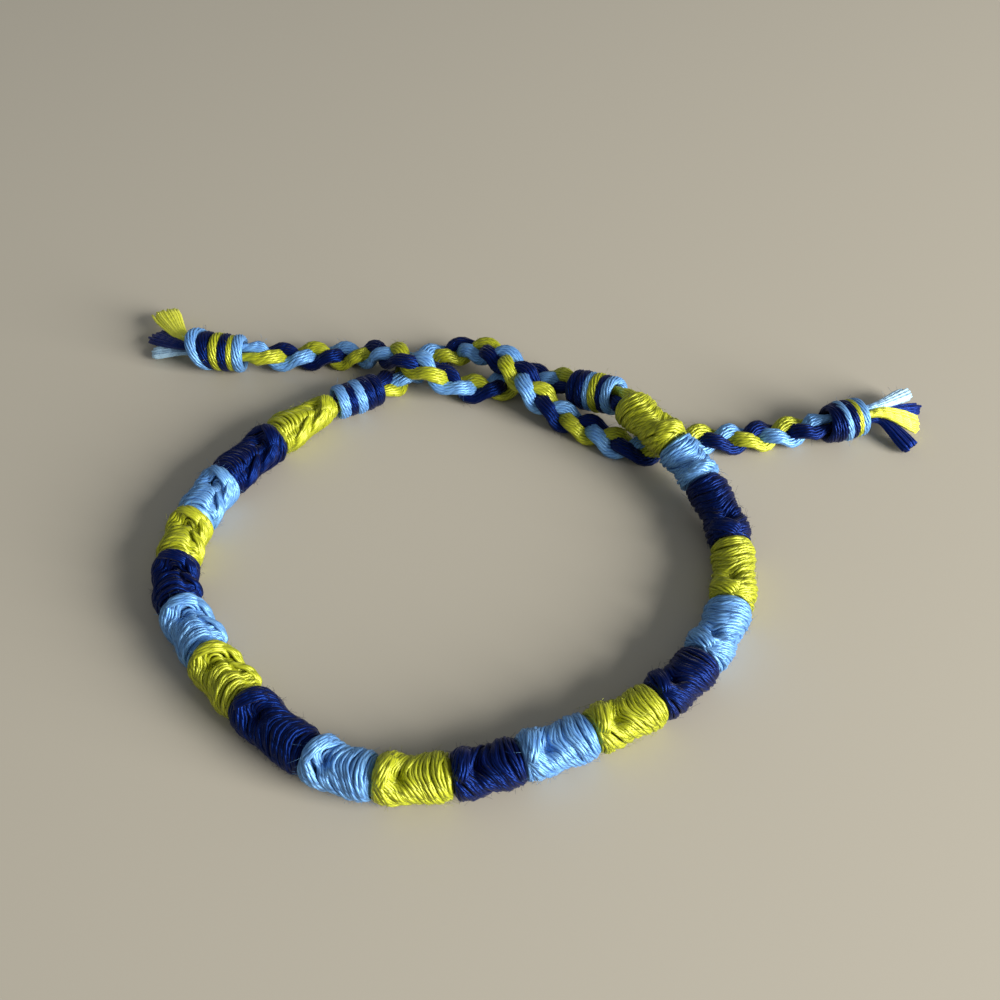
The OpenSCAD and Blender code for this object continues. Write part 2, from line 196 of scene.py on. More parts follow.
def yarn_pattern(tree):
    """V, ply ridge and fibre streak of a twisted strand. With an angle that is the turn round the strand
    plus the twist along it, the ridge is the size of that angle's cosine, so it is 1 on two plies and 0 in
    the grooves between them, and the streaks are noise on the circle of that angle, drawn out along the
    strand."""
    uv = add_node(tree, "ShaderNodeUVMap", {"uv_map": "thread"})
    part = add_node(tree, "ShaderNodeSeparateXYZ", in0=uv.outputs["UV"])
    turn = add_node(tree, "ShaderNodeMath", {"operation": "MULTIPLY_ADD"},
                    in0=part.outputs["Y"], in1=1 / TWIST_MM, in2=part.outputs["X"])
    angle = add_node(tree, "ShaderNodeMath", {"operation": "MULTIPLY"}, in0=turn.outputs[0], in1=2 * np.pi)
    cosine = add_node(tree, "ShaderNodeMath", {"operation": "COSINE"}, in0=angle.outputs[0])
    sine = add_node(tree, "ShaderNodeMath", {"operation": "SINE"}, in0=angle.outputs[0])
    ridge = add_node(tree, "ShaderNodeMath", {"operation": "ABSOLUTE"}, in0=cosine.outputs[0])
    along = add_node(tree, "ShaderNodeMath", {"operation": "MULTIPLY"},
                     in0=part.outputs["Y"], in1=FIBRE_STRETCH)
    circle = add_node(tree, "ShaderNodeCombineXYZ",
                      X=cosine.outputs[0], Y=sine.outputs[0], Z=along.outputs[0])
    fibre = add_node(tree, "ShaderNodeTexNoise", Vector=circle.outputs[0], Scale=FIBRE_SCALE, Detail=3.0,
                     Roughness=0.6)
    return part.outputs["Y"], ridge.outputs[0], fibre.outputs["Fac"]


print("one ply turns once in", TWIST_MM, "mm")

# %% [markdown]
# ## The floss: its colour
#
# The groove between the plies is coloured darker than the ply: painted shade, where light reaches less. Along
# the thread the shade drifts a little, because yarn takes dye unevenly, and each fibre is a shade of its own.
# Where a tassel is cut the fibres fray and look paler, and the same pale colour also paints on the highlight
# that the locks show. The locks of a tassel therefore count their V from 100, which no other thread's length
# reaches, and the material turns paler past that.

# %% Dye the yarn, and paint shade into its grooves
# below this ridge height the colour turns to the painted shade of the groove
GROOVE_SHADE_TOP = 0.55                           # height of the ridge from which a ply has its full colour
PATCH_SCALE = 900.0                         # soft patches of shade, each about a millimetre wide
PATCH_FROM, PATCH_TO = 0.35, 0.7            # values of their noise between which they get lighter
PATCH_SHARE = 0.55                          # most of the light colour that a patch takes
STREAK_FROM, STREAK_TO = 0.3, 0.7           # values of the fibre noise between which a streak goes
STREAK_DARK, STREAK_BRIGHT = 0.66, 1.2      # from its darkest to its brightest
CUT_V = 100.0                               # V at the root of a tassel lock
# along these lengths the locks turn paler: partly fraying, partly a painted highlight
PALE_FROM, PALE_TO = 1, 6                   # lengths from the root, in mm, between which a lock turns paler


def yarn_colour(tree, v, ridge, fibre, body, groove_shade, light, pale_tip_and_highlight):
    """The colour: the dye, with painted shade in the grooves between the plies and body colour on them, then
    lighter patches, streaks and pale cut ends, which partly paint a highlight. A range node turns a height, a
    noise or V into a share, and a mix takes that share of its second colour."""
    place = add_node(tree, "ShaderNodeTexCoord")
    patch = add_node(tree, "ShaderNodeTexNoise",
                     Vector=place.outputs["Object"], Scale=PATCH_SCALE, Detail=2.0)
    on_ply = add_node(tree, "ShaderNodeMapRange", Value=ridge, From_Min=0.0, From_Max=GROOVE_SHADE_TOP)
    # painted shade: the groove colour, darker than the ply, fills the grooves between the plies
    ply_with_groove_shade = add_node(tree, "ShaderNodeMix", {"data_type": "RGBA"}, in0=on_ply.outputs[0],
                    in6=linear(groove_shade), in7=linear(body))
    in_patch = add_node(tree, "ShaderNodeMapRange", Value=patch.outputs["Fac"],
                        From_Min=PATCH_FROM, From_Max=PATCH_TO, To_Max=PATCH_SHARE)
    tone = add_node(tree, "ShaderNodeMix", {"data_type": "RGBA"}, in0=in_patch.outputs[0],
                    in6=ply_with_groove_shade.outputs[2], in7=linear(light))
    depth = add_node(tree, "ShaderNodeMapRange", Value=fibre, From_Min=STREAK_FROM, From_Max=STREAK_TO,
                     To_Min=STREAK_DARK, To_Max=STREAK_BRIGHT)
    streak = add_node(tree, "ShaderNodeVectorMath", {"operation": "SCALE"}, in0=tone.outputs[2],
                      Scale=depth.outputs[0])
    # pale cut ends: partly frayed fibres, partly a painted highlight along the locks
    cut = add_node(tree, "ShaderNodeMapRange", Value=v, From_Min=CUT_V + PALE_FROM, From_Max=CUT_V + PALE_TO)
    tip = add_node(tree, "ShaderNodeMix", {"data_type": "RGBA"}, in0=cut.outputs[0],
                   in6=streak.outputs[0], in7=linear(pale_tip_and_highlight))
    return tip.outputs[2]


print("cut ends turn paler between V", CUT_V + PALE_FROM, "and", CUT_V + PALE_TO)

# %% [markdown]
# ## The floss: its gloss
#
# A swollen fibre is clear inside, and much of the light that leaves it has gone through the dye. So the
# highlight of mercerised cotton comes back in the yarn's own colour, as silk's does. The shader says so in
# two ways at once: a metallic share of 0.3, which is about the tint and doesn't mean that there is metal,
# and a specular tint. With white highlights the navy floss would look wet.

# %% Mix the floss
PLY_DEPTH = 0.045 * MM    # depth of the groove between the plies
FIBRE_DEPTH = 0.02 * MM   # depth of the streaks


def floss_material(name, body, groove_shade, light, pale_tip_and_highlight, glint):
    """Twisted, mercerised cotton in one dye. Plies and fibres bend the light as bumps."""
    made, tree, shader = new_material(name)
    v, ridge, fibre = yarn_pattern(tree)
    colour = yarn_colour(tree, v, ridge, fibre, body, groove_shade, light, pale_tip_and_highlight)
    ply = add_node(tree, "ShaderNodeBump", Height=ridge, Distance=PLY_DEPTH, Strength=1.0)
    fine = add_node(tree, "ShaderNodeBump", Height=fibre, Distance=FIBRE_DEPTH, Strength=1.0,
                    Normal=ply.outputs[0])
    tree.links.new(colour, shader.inputs["Base Color"])
    tree.links.new(fine.outputs[0], shader.inputs["Normal"])
    shader.inputs["IOR"].default_value = 1.53                # cellulose
    shader.inputs["Metallic"].default_value = 0.3            # a coloured gloss that follows each thread
    shader.inputs["Roughness"].default_value = 0.44          # silky: smooth fibres, not quite parallel
    shader.inputs["Specular IOR Level"].default_value = 1.0  # twice the plain value: fibres swollen smooth
    shader.inputs["Specular Tint"].default_value = linear(glint)
    shader.inputs["Sheen Weight"].default_value = 0.06       # a breath of fuzz along the outlines
    shader.inputs["Sheen Roughness"].default_value = 0.4
    return made


# finish, then the colour on a ply, of the painted groove shade, of a light patch, of a pale cut end with a
# painted highlight, and the highlight's tint
DYES = {
    "yellow": ("mercerised_cotton_chartreuse", "#aab012", "#6a7008", "#c2c632", "#f8fa50", "#ffffc0"),
    "navy": ("mercerised_cotton_navy", "#01042c", "#000116", "#030a3e", "#061a5c", "#3c78ff"),
    "sky": ("mercerised_cotton_sky", "#6298d4", "#3a66a8", "#7eb2e2", "#bce0f8", "#c8eeff"),
}
FLOSS = {colour: floss_material(*dye) for colour, dye in DYES.items()}
print("floss:", {colour: made.name for colour, made in FLOSS.items()})

# %% [markdown]
# ## A smooth line through a few points
#
# The band and the two ties each follow a route: a list of points in millimetres, taken from the same plan as
# the CAD model. We want a soft curve through them, not a chain of straight runs. A Catmull-Rom curve passes
# through every point and needs no handles, so the points can be moved one at a time.

# %% Curve helpers
MIDDLE = np.array([-0.243, -0.116, -0.011])   # the middle of the whole outline, which becomes the origin
SPAN_STEPS = 24                               # places between one point of a route and the next
NEAR = 0.3                                    # length in mm over which a heading is measured


def unit(v):
    """The vectors v scaled to length 1."""
    return v / np.linalg.norm(v, axis=-1, keepdims=True)


def smooth_line(route):
    """Dense places on a Catmull-Rom curve, with their length along it: in each span the curve is a cubic
    whose slope at a point is half the way from the point before it to the point after it."""
    route = np.array(route, float)
    points = np.vstack([route[:1], route, route[-1:]])
    a, b, c, d = (points[i:len(points) - 3 + i, None] for i in range(4))
    u = (np.arange(SPAN_STEPS) / SPAN_STEPS)[None, :, None]
    slope, bend, twist = c - a, 2 * a - 5 * b + 4 * c - d, 3 * b - a - 3 * c + d
    spans = 0.5 * (2 * b + slope * u + bend * u ** 2 + twist * u ** 3)
    places = np.vstack([spans.reshape(-1, 3), route[-1:]])
    steps = np.linalg.norm(np.diff(places, axis=0), axis=1)
    return places, np.concatenate([[0], np.cumsum(steps)])


def at_length(line, s):
    """Places at the lengths s along a line, in mm."""
    places, lengths = line
    return np.stack([np.interp(s, lengths, places[:, axis]) for axis in range(3)], axis=-1)


def stand(line, s):
    """Place, heading, right-hand side and upward direction at the lengths s. The side is square to the
    heading and level, and up is square to both."""
    ahead = unit(at_length(line, s + NEAR) - at_length(line, s - NEAR))
    side = unit(np.cross(ahead, (0, 0, 1)))
    return at_length(line, s), ahead, side, np.cross(side, ahead)


print("a line through three points has", len(smooth_line([[0, 0, 0], [1, 0, 0], [1, 1, 0]])[0]), "places")

# %% The band's line
BAND = smooth_line(np.array([
    [-23.2, 16.9, 2.35], [-28.6, 11.4, 2.35], [-33.3, 4.8, 2.35], [-35.7, -0.9, 2.35],
    [-36.6, -6.6, 2.35], [-35.7, -12.4, 2.35], [-31.9, -18.4, 2.35], [-27.3, -23.8, 2.35],
    [-20.4, -29.4, 2.35], [-13.7, -31.9, 2.35], [-6.4, -31.6, 2.35], [0.1, -29.6, 2.35],
    [7, -26.5, 2.35], [13.4, -22.7, 2.35], [18.4, -17.3, 2.35], [21.8, -10.1, 2.35],
    [22.3, -1.8, 2.5], [19.7, 5.8, 3.4], [16.6, 9.9, 4.7], [14.2, 12.7, 5.05], [12.1, 15.7, 4.8],
]) - MIDDLE)
print("band length in mm:", round(BAND[1][-1], 1))

# %% [markdown]
# ## Many threads at once
#
# A thread is a circle carried along a path. Blender could make it from a curve with a bevel, but then each
# thread is its own object, with its own idea of where its seam lies. Here all the threads of a piece are
# worked out together: the paths are one array of shape (threads, places, 3), and a direction that leads away
# from the core says where the seam of each ring stands. The same call makes open threads, with a blunt tip
# at each end, and closed rings.

# %% Rings along a path
def ring_points(paths, radius, outward, sides, closed):
    """The points of every ring, and the heading at every place: a point is path + radius (n cos a + b sin a),
    where n is the outward direction made square to the heading, b is heading x n, and a goes round."""
    ahead = np.roll(paths, -1, 1) - np.roll(paths, 1, 1)
    if not closed:
        ahead[:, 0], ahead[:, -1] = paths[:, 1] - paths[:, 0], paths[:, -1] - paths[:, -2]
    ahead = unit(ahead)
    n = unit(outward - (outward * ahead).sum(-1, keepdims=True) * ahead)
    b = np.cross(ahead, n)
    a = 2 * np.pi * np.arange(sides) / sides
    spoke = np.cos(a)[:, None] * n[:, :, None] + np.sin(a)[:, None] * b[:, :, None]
    return paths[:, :, None] + radius[:, :, None, None] * spoke, ahead


SAMPLE = np.array([[[0, 0, 0], [0, 0, 1.0]]])      # one straight thread of 1 mm, to try the builder on
SAMPLE_OUT = np.array([[[1.0, 0, 0], [1.0, 0, 0]]])
sample_rings = ring_points(SAMPLE, np.full((1, 2), 0.2), SAMPLE_OUT, 8, False)[0]
print("a straight thread has", sample_rings.shape[1], "rings of", sample_rings.shape[2], "points")

# %% Faces between the rings
def side_quads(paths, sides, closed, first_v):
    """Faces between neighbouring rings, with the UV of their corners: U goes once round, and V is first_v
    plus the length along the path."""
    count, places = paths.shape[:2]
    step = np.linalg.norm(np.diff(paths, axis=1, append=paths[:, :1]), axis=-1)
    length = first_v + np.concatenate([np.zeros((count, 1)), np.cumsum(step, 1)], 1)   # (threads, places + 1)
    i, j = np.meshgrid(np.arange(places if closed else places - 1), np.arange(sides), indexing="ij")
    i, j = i.ravel(), j.ravel()
    corner_i, corner_j = np.stack([i, i, i + 1, i + 1], 1), np.stack([j, j + 1, j + 1, j], 1)
    start = (np.arange(count) * places * sides)[:, None, None]
    quads = start + (corner_i % places) * sides + corner_j % sides
    uv = np.stack([np.broadcast_to(corner_j / sides, quads.shape), length[:, corner_i]], -1)
    return quads.reshape(-1, 4), uv.reshape(-1, 2)


def end_tips(paths, ahead, radius, sides):
    """A point half a radius past each end of every thread, and the triangles that join it to the ring."""
    count, places = paths.shape[:2]
    tips = np.stack([paths[:, 0] - 0.5 * radius[:, :1] * ahead[:, 0],
                     paths[:, -1] + 0.5 * radius[:, -1:] * ahead[:, -1]], 1).reshape(-1, 3)
    tip = count * places * sides + np.arange(2 * count).reshape(count, 2)
    first = (np.arange(count) * places * sides)[:, None] + np.arange(sides)
    last = first + (places - 1) * sides
    tris = np.concatenate([
        np.stack([np.broadcast_to(tip[:, :1], first.shape), np.roll(first, -1, 1), first], -1),
        np.stack([np.broadcast_to(tip[:, 1:], last.shape), last, np.roll(last, -1, 1)], -1)])
    return tips, tris.reshape(-1, 3)


print("it has", len(side_quads(SAMPLE, 8, False, 0.0)[0]), "faces along its sides")

# %% Thread builder
def threads(paths, radius, outward, sides=8, closed=False, first_v=0.0):
    """Round threads as points and faces. paths and outward are (threads, places, 3), and radius is one number
    or one for each place."""
    radius = np.broadcast_to(radius, paths.shape[:2])
    points, ahead = ring_points(paths, radius, outward, sides, closed)
    points = points.reshape(-1, 3)
    quads, quad_uv = side_quads(paths, sides, closed, first_v)
    tris = np.zeros((0, 3), int)
    if not closed:
        tips, tris = end_tips(paths, ahead, radius, sides)
        points = np.vstack([points, tips])
    tri_uv = np.zeros((tris.size, 2))
    return {"points": points, "quads": quads, "quad_uv": quad_uv, "tris": tris, "tri_uv": tri_uv}


print("with its two tips:", {key: len(value) for key, value in threads(SAMPLE, 0.2, SAMPLE_OUT).items()})

# %% [markdown]
# ## One object for each piece
#
# A piece can hold tens of thousands of faces, so its mesh is filled from whole arrays and not face by face.
# It rides on the bracelet's one body, stands for its CAD node, and takes the floss of its colour.

# %% Piece builder
def make_piece(name, bundles, colour, node):
    """One object from several bundles of threads in mm. Returns its number of triangles."""
    first = np.cumsum([0] + [len(m["points"]) for m in bundles])
    points = np.vstack([m["points"] for m in bundles]) * MM
    quads = np.vstack([m["quads"] + f for m, f in zip(bundles, first)])
    tris = np.vstack([m["tris"] + f for m, f in zip(bundles, first)])
    mesh = bpy.data.meshes.new(name)
    mesh.vertices.add(len(points))
    mesh.vertices.foreach_set("co", points.ravel())
    mesh.loops.add(quads.size + tris.size)
    mesh.loops.foreach_set("vertex_index", np.concatenate([quads.ravel(), tris.ravel()]).astype(np.int32))
    mesh.polygons.add(len(quads) + len(tris))
    mesh.polygons.foreach_set("loop_start", np.concatenate(
        [4 * np.arange(len(quads)), quads.size + 3 * np.arange(len(tris))]).astype(np.int32))
    mesh.polygons.foreach_set("use_smooth", np.ones(len(quads) + len(tris), bool))
    mesh.update(calc_edges=True)
    uv = mesh.uv_layers.new(name="thread")
    uv.data.foreach_set("uv", np.vstack(
        [m["quad_uv"] for m in bundles] + [m["tri_uv"] for m in bundles]).ravel())
    mesh.materials.append(FLOSS[colour])
    piece = bpy.data.objects.new(name, mesh)
    scene.collection.objects.link(piece)
    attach(piece, "root")
    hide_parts(node)
    return 2 * len(quads) + len(tris)


print("pieces take their finish from", sorted(colour + "_floss" for colour in FLOSS))

# %% [markdown]
# ## Stray fibres
#
# Even mercerised cotton sheds a few fibres, and without them the outline of a thread is too clean to be
# cotton. Each one leaves a thread at a random place and lifts off as it runs.

# %% Fibre builder
FIBRE_RADIUS = 0.012          # in mm, more than half as thick again as a real fibre, so that it still shows
FIBRE_REACH = (0.3, 1.3)      # least and greatest run along the surface
FIBRE_LIFT = (0.05, 0.45)     # least and greatest height of the tip
FIBRE_CURL = 0.35             # sideways bend at the tip, as a share of the run
FIBRE_ROOT = 0.8              # where a fibre leaves, as a share of the thread's radius
FIBRE_PLACES = 6              # places along a fibre, few because there are thousands


def stray_fibres(rng, paths, out, radius, count):
    """Loose fibres that stand off the threads: place + out (root + lift v^1.5) + aside reach v + side curl
    v^2, where v runs from 0 to 1 and aside is a random direction along the surface."""
    i, j = rng.integers(0, paths.shape[0], count), rng.integers(1, paths.shape[1] - 1, count)
    ahead, away = unit(paths[i, j + 1] - paths[i, j - 1]), unit(out[i, j])
    side = np.cross(ahead, away)
    heading = rng.uniform(0, 2 * np.pi, (count, 1))
    aside = np.cos(heading) * ahead + np.sin(heading) * side
    reach, lift = rng.uniform(*FIBRE_REACH, (count, 1, 1)), rng.uniform(*FIBRE_LIFT, (count, 1, 1))
    curl = FIBRE_CURL * reach * rng.normal(0, 1, (count, 1, 1))
    v = np.linspace(0, 1, FIBRE_PLACES)[None, :, None]
    line = paths[i, j][:, None] + away[:, None] * (FIBRE_ROOT * radius + lift * v ** 1.5)
    line = line + aside[:, None] * reach * v + side[:, None] * curl * v ** 2
    line[..., 2] = np.maximum(line[..., 2], FIBRE_RADIUS)
    return threads(line, FIBRE_RADIUS, np.broadcast_to(away[:, None], line.shape), sides=3)


print("a stray fibre is", 2 * FIBRE_RADIUS, "mm thick and up to", FIBRE_REACH[1], "mm long")

# %% [markdown]
# ## The band: its blocks
#
# Each block of colour is a floss that is hitched three times round a core. It swells most over the first
# hitch, narrows to a waist in the middle and swells again before it ends. Every hitch crosses itself on the
# spine of the band, an angle that drifts slowly on the way round: 0 points out of the loop, 90 up and 180
# into it. The first crossing of a block is the plain one. The floss comes up at the block's edge, arches
# over the spine and dives in again, so there is a lump, and right after it a hollow.

# %% Plan of the band
# colour, length in mm and angle of the spine of each block, in the order of work
STRETCHES = [
    ("yellow", 8.55, 100), ("navy", 8.25, 105), ("sky", 6.35, 100),
    ("yellow", 6, 95), ("navy", 6.15, 90), ("sky", 6.85, 95),
    ("yellow", 6.9, 90), ("navy", 8.75, 85), ("sky", 6.6, 85),
    ("yellow", 7, 80), ("navy", 6.55, 85), ("sky", 7.3, 85),
    ("yellow", 7.25, 90), ("navy", 7.05, 110), ("sky", 7.75, 115),
    ("yellow", 8.2, 120), ("navy", 8.8, 110), ("sky", 5.7, 90),
    ("yellow", 7.8, 90),
]
BAND_THICK = 4.7
STRETCH_GAP = 0.12        # clear space between one block and the next
# length along the band, and share of its thickness there, where it comes out of the left knot
LEFT_TAPER = np.array([[0, 0.55], [2, 0.75], [4.2, 0.9], [6.5, 1]])
# share of a block's length, and share of the band's thickness there
SWELL = np.array([
    [0, 0.78], [0.05, 0.96], [0.13, 1.1], [0.23, 1.13], [0.33, 1.05], [0.42, 0.96], [0.52, 0.93],
    [0.62, 0.96], [0.72, 1.04], [0.83, 1.08], [0.92, 1], [1, 0.8]])
LENGTH_SCALE = BAND[1][-1] / sum(row[1] for row in STRETCHES)
print(len(STRETCHES), "blocks fill the band when their lengths are scaled by", round(LENGTH_SCALE, 5))

# %% Shape of a block
PURL_HEIGHT = 0.4               # height of the lump at the first crossing, and depth of the dip after it
LUMP_AT, LUMP_LONG = 0.16, 0.1  # middle and reach of the lump, as shares of the block's length
DIP_AT, DIP_LONG = 0.36, 0.08
LUMP_WIDE = 35                  # reach of both round the band, in degrees


def bell(*offsets):
    """1 where all offsets are 0, falling off smoothly: e to the power minus the sum of their squares."""
    return np.exp(-sum(offset ** 2 for offset in offsets))


def smooth(x):
    """0 below 0, 1 above 1, and 3u^2 - 2u^3 between."""
    u = np.clip(x, 0, 1)
    return u * u * (3 - 2 * u)


def block_radius(u, turn, spine):
    """Radius of a block at a share u of its length and a turn from its spine: a swelling that fades to
    nothing on the underside, with a lump on the spine and a dip after it."""
    swell = np.interp(u, SWELL[:, 0], SWELL[:, 1])
    upper = 0.5 + 0.5 * np.sin((spine - turn) * DEGREE)
    body = np.where(swell > 1, 1 + (swell - 1) * upper, swell)
    lump = PURL_HEIGHT * bell((u - LUMP_AT) / LUMP_LONG, turn / LUMP_WIDE)
    dip = PURL_HEIGHT * bell((u - DIP_AT) / DIP_LONG, turn / LUMP_WIDE)
    return BAND_THICK / 2 * body + lump - dip


on_spine = [round(float(block_radius(u, 0, 90)), 2) for u in (0, 0.16, 0.36, 0.83, 1)]
print("radius on the spine in mm:", on_spine)

# %% [markdown]
# ## The band: how its strands lie
#
# Three hitches of six-strand floss put eighteen strands side by side, or thirty-six plies. The rings here
# are almost that fine: about thirty to a block, thicker than their distance from each other, so that they
# press together as floss does. We could model one hitch and copy it, but copies show. Each ring is tilted so
# that it stands further back on the spine than underneath, and the tilt runs from almost nothing at the ends
# of a block to its most a quarter of the way along. That makes the strands fan out of the hollow, down and
# forward over the near side. Seeded wander keeps any two from being alike, and neighbours share part of it,
# because the strands of one floss keep together in a lobe.

# %% Where along a block the strands stand
STRAND_PITCH = 0.24       # distance between rings that lie side by side
STRAND_RADIUS = 0.19
RING_PLACES = 44          # places on a ring
LEAN_MM = 1.3             # most that a ring leans, from its middle to the spine
# share of the block's length, and share of the lean there
LEAN_SHARE = np.array([[0, 0.08], [0.1, 0.5], [0.25, 1], [0.6, 0.9], [0.85, 0.5], [1, 0.1]])
PINCH_MM = 0.7            # how much further a ring is drawn back right at the spine
PINCH_WIDE = 36           # and over how many degrees
LOBE = 4                  # rings that keep together
LOBE_WANDER = 0.09        # how far a lobe strays along the band
LOBE_SQUEEZE = 0.05       # how far the outer strands of a lobe move in towards its middle
SQUEEZE_WANDER = 0.5      # how unevenly they do
END_ROOM = 0.8            # radii by which the outermost rings stay inside the block
END_SPREAD = 2            # radii over which rings that are pressed against its end stay in order


def wander(rng, shape, angle, size):
    """A smooth random offset for each thread: sines with one, two and four waves to a turn, each with a
    random phase and height, and lower where the waves are shorter."""
    offset = np.zeros(shape)
    for waves in (1, 2, 4):
        phase = rng.uniform(0, 2 * np.pi, (shape[0], 1))
        height = size * rng.normal(0, 1, (shape[0], 1))
        offset = offset + height * np.sin(waves * angle * DEGREE + phase) / waves
    return offset


def ring_lengths(rng, run, count, turn, stray):
    """Length along a block of each ring at each turn, with the ring's lobe and its seat in it from -1 to 1:
    its share of the run, less lean times the cosine of the turn and pinch times a bell of it, with wander
    added."""
    share = (np.arange(count)[:, None] + 0.5) / count
    lean = np.interp(share, *LEAN_SHARE.T)
    x = run * share - lean * (LEAN_MM * np.cos(turn * DEGREE) + PINCH_MM * bell(turn / PINCH_WIDE))
    lobe, seat = np.divmod(np.arange(count) + rng.integers(0, LOBE), LOBE)
    lobes = (count // LOBE + 2, RING_PLACES)
    seat = (2 * seat[:, None] - LOBE + 1) / (LOBE - 1)
    x = x + wander(rng, lobes, turn, LOBE_WANDER)[lobe] + wander(rng, (count, RING_PLACES), turn, stray)
    x = x - LOBE_SQUEEZE * seat * (1 + wander(rng, lobes, turn, SQUEEZE_WANDER)[lobe])
    first = STRAND_RADIUS * (END_ROOM + END_SPREAD * share)
    last = run - STRAND_RADIUS * (END_ROOM + END_SPREAD - END_SPREAD * share)
    return np.clip(x, first, last), lobe, seat


print("rings in a block of 7 mm:", round(7 / STRAND_PITCH))

# %% [markdown]
# ## The band: hollows, seam and rings
#
# The hollow after the first crossing is the darkest spot of a block, and a block without it looks like a
# bead. It is much deeper for the strands than for the CAD's plain skin. On the left of the loop the eye also
# looks at the inner side of the ring, where the crossings meet the body of the block in a narrow valley, the
# seam.
#
# A plain rod of the same colour closes the gaps between the strands, with a notch of its own under the
# hollow.

# %% How far out the strands stand
HOLLOW_DEPTH = 1.35
HOLLOW_AT, HOLLOW_LONG = 0.29, 0.1      # middle and reach, as shares of the block's length
HOLLOW_TURN, HOLLOW_WIDE = 14, 30       # and in degrees round the band
SEAM_DEPTH = 0.4
SEAM_TURN, SEAM_WIDE = -36, 13
SEAM_GROWS = 0.35                       # share of the block over which the seam opens to its full depth
LEAST_BODY = 0.92                       # a block is nowhere thinner than this share, apart from its hollows
LOBE_RISE, STRAND_RISE = 0.04, 0.025    # how far a lobe and a strand stray outwards


def strand_surface(u, turn, spine, seam):
    """Radius on which the strands lie: the block's own, less the hollow and the valley of the seam."""
    body = np.maximum(block_radius(u, turn, spine), LEAST_BODY * BAND_THICK / 2)
    hollow = HOLLOW_DEPTH * bell((u - HOLLOW_AT) / HOLLOW_LONG, (turn - HOLLOW_TURN) / HOLLOW_WIDE)
    valley = seam * smooth(u / SEAM_GROWS) * bell((turn - SEAM_TURN) / SEAM_WIDE)
    return body - hollow - valley


def on_band(start, x, angle, radius):
    """Places at x mm along a block and a radius and angle round the band, and the way out from its middle."""
    place, ahead, side, up = stand(BAND, start + x)
    out = side * np.cos(angle * DEGREE)[..., None] + up * np.sin(angle * DEGREE)[..., None]
    return place + radius[..., None] * out, out


print("hollow leaves a radius of", round(float(strand_surface(HOLLOW_AT, HOLLOW_TURN, 90, 0)), 2), "mm")

# %% Lay the strands
RING_STRAY = 0.05         # how far a ring strays from its lobe, along the band
CREASE_DEPTH = 0.1        # how far strands sink at the edges of a lobe
THICKNESS_SPREAD = (0.8, 1.2)
FIBRES_A_RING = 4
FIBRE_SEAT = 0.2          # radius that a ring's stray fibres start from


def hitch_rings(rng, start, run, spine, count, seam, above=0.0, stray=RING_STRAY, crease=CREASE_DEPTH):
    """Strands side by side as closed rings that lean back on the spine, and their stray fibres."""
    turn = np.linspace(-180, 180, RING_PLACES, endpoint=False)[None, :]
    x, lobe, seat = ring_lengths(rng, run, count, turn, stray)
    taper = np.interp(start + x, *LEFT_TAPER.T)
    surface = (strand_surface(x / run, turn, spine, seam) + above) * taper
    radius = surface - STRAND_RADIUS - crease * seat ** 2
    rise = wander(rng, (count // LOBE + 2, RING_PLACES), turn, LOBE_RISE)[lobe]
    radius = radius + rise + wander(rng, x.shape, turn, STRAND_RISE)
    paths, out = on_band(start, x, spine - turn, radius)
    thick = STRAND_RADIUS * rng.uniform(*THICKNESS_SPREAD, (count, 1))
    paths[..., 2] = np.maximum(paths[..., 2], thick)      # no strand lies below the floor
    return [threads(paths, thick, out, sides=6, closed=True),
            stray_fibres(rng, paths, out, FIBRE_SEAT, FIBRES_A_RING * count)]


rings, fuzz = hitch_rings(np.random.default_rng(0), 0, 7, 90, 29, 0)
print("29 rings have", len(rings["quads"]), "faces, and their stray fibres", len(fuzz["quads"]))

# %% Fill the block
CORE_SHARE = 0.82                   # the core's radius, as a share of the band's
NOTCH_DEPTH = 0.45                  # how much of that share the notch takes away
NOTCH_AT, NOTCH_LONG = 0.28, 0.11
CORE_END = 0.15                     # how far the rod stays inside the block's ends
CORE_PLACES = 16


def hitch_core(start, run):
    """A plain rod under the rings, in the same colour, that closes the gaps between the strands."""
    x = np.linspace(CORE_END, run - CORE_END, CORE_PLACES)[None, :]
    share = CORE_SHARE - NOTCH_DEPTH * bell((x / run - NOTCH_AT) / NOTCH_LONG)
    radius = share * BAND_THICK / 2 * np.interp(start + x, *LEFT_TAPER.T)
    place, ahead, side, up = stand(BAND, start + x)
    return threads(place, radius, side, sides=24)


print("core triangles in a block:", 2 * len(hitch_core(0, 7)["quads"]) + len(hitch_core(0, 7)["tris"]))

# %% [markdown]
# ## The band: its crossings
#
# A crossing is a flat bundle that stands out from the strands. The first one of a block shows wherever the
# eye is. The other two run down the inner side of the ring, so they show only on the first seven blocks, at
# the left of the loop, where the eye looks at that side. So does the seam.

# %% Arch a crossing over the spine
ARCH_THREADS = 6
ARCH_PLACES = 26
ARCH_RADIUS = 0.21
ARCH_SINK = 0.12                    # how far the bundle is pressed into the strands
ARCH_CROWN = 1.4                    # how much lower its outer threads arch than its middle ones
ARCH_TUCK = 0.15                    # part of the half sine of its width that is left out at each end
ARCH_EASE = 1.3                     # power of v by which it moves along the band, so it starts out steeper
ARCH_NARROW = 0.3                   # share of its width along the band that it loses on the way
ROOT_DIVE, ROOT_OVER = 0.8, 0.25    # how deep it starts, and over what share of its run it comes up
TIP_DIVE, TIP_FROM, TIP_OVER = 0.5, 0.82, 0.18      # how deep it ends, and where and how fast it dives
ARCH_WANDER, ARCH_RISE = 0.06, 0.03     # how far its threads stray along the band and outwards
ARCH_FROM, ARCH_TO = 0.12, 0.15     # how far it keeps from the block's two ends
MOST_SWELL = 1.03                   # the arch doesn't ride on more of the swelling than this
